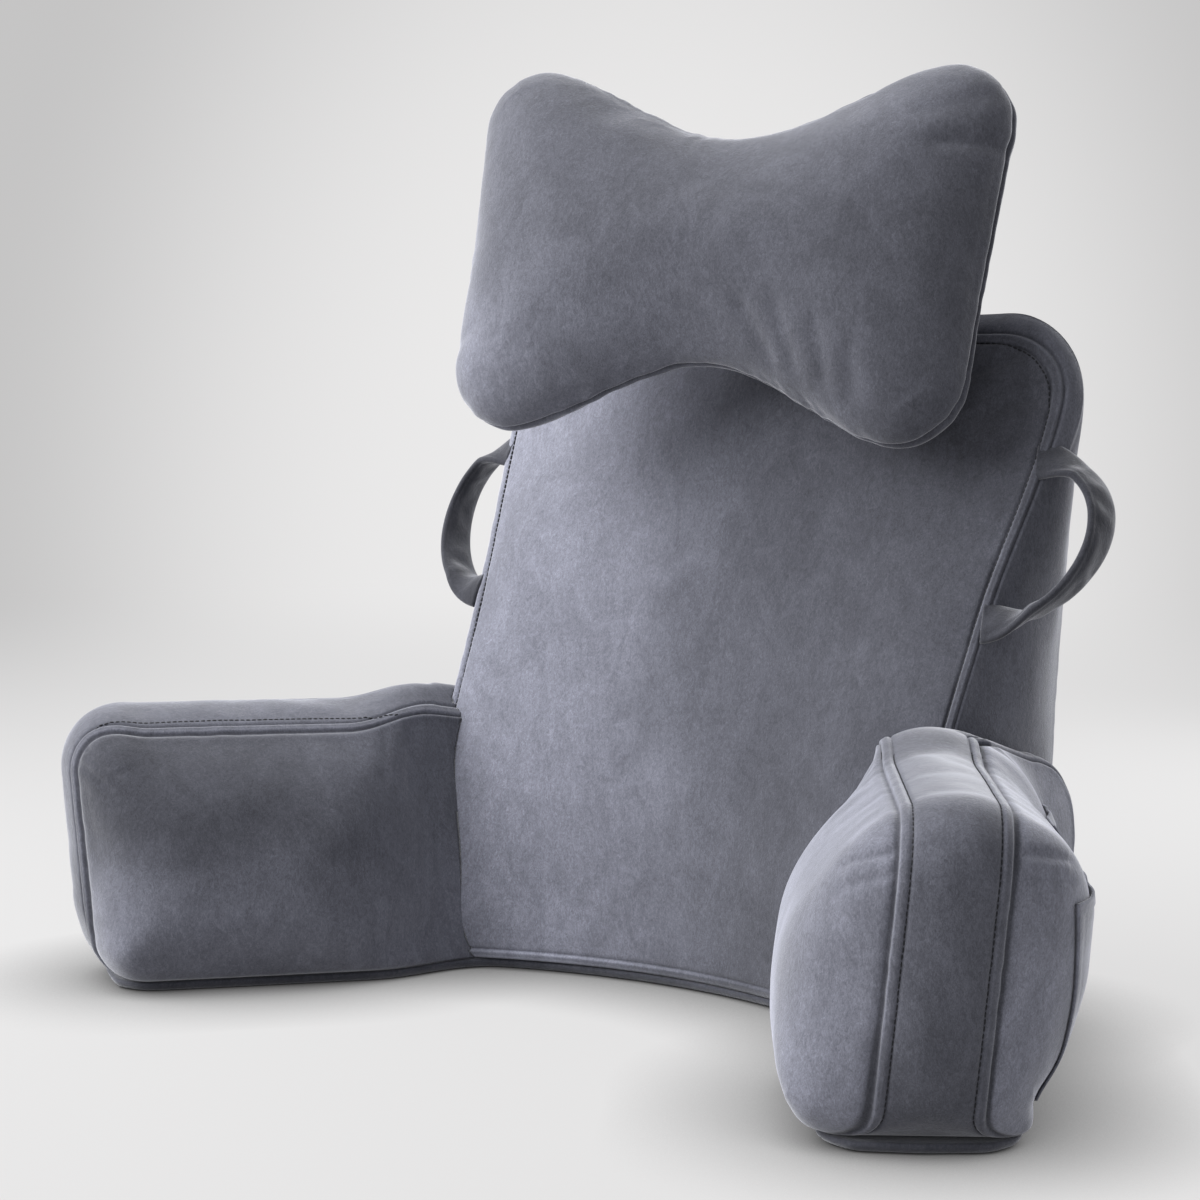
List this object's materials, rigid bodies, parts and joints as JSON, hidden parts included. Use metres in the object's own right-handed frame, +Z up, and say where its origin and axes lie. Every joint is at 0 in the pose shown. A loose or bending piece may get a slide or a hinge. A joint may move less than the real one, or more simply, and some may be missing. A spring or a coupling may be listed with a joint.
{
  "type": "reading pillow",
  "caption": "Velour bed-rest reading pillow with splayed arms, a leaning bow-tie neck pillow, side handles and arm pockets.",
  "frame": {"origin": "on the surface, under the middle of the pillow's outline", "axes": "+X to the right of someone who looks at the front, +Z up, the arms reach towards -Y"},
  "size_m": [0.8944, 0.4352, 0.7071],
  "materials": {
    "velour": "slate blue-grey short-pile velour, matte with a soft sheen"
  },
  "bodies": {
    "root": {"back": "velour", "arm_right": "velour", "arm_left": "velour", "handle_right": "velour", "handle_left": "velour", "base_panel": "velour", "neck_pillow": "velour", "pocket_front": "velour", "pocket_rear": "velour"}
  },
  "joints": []
}
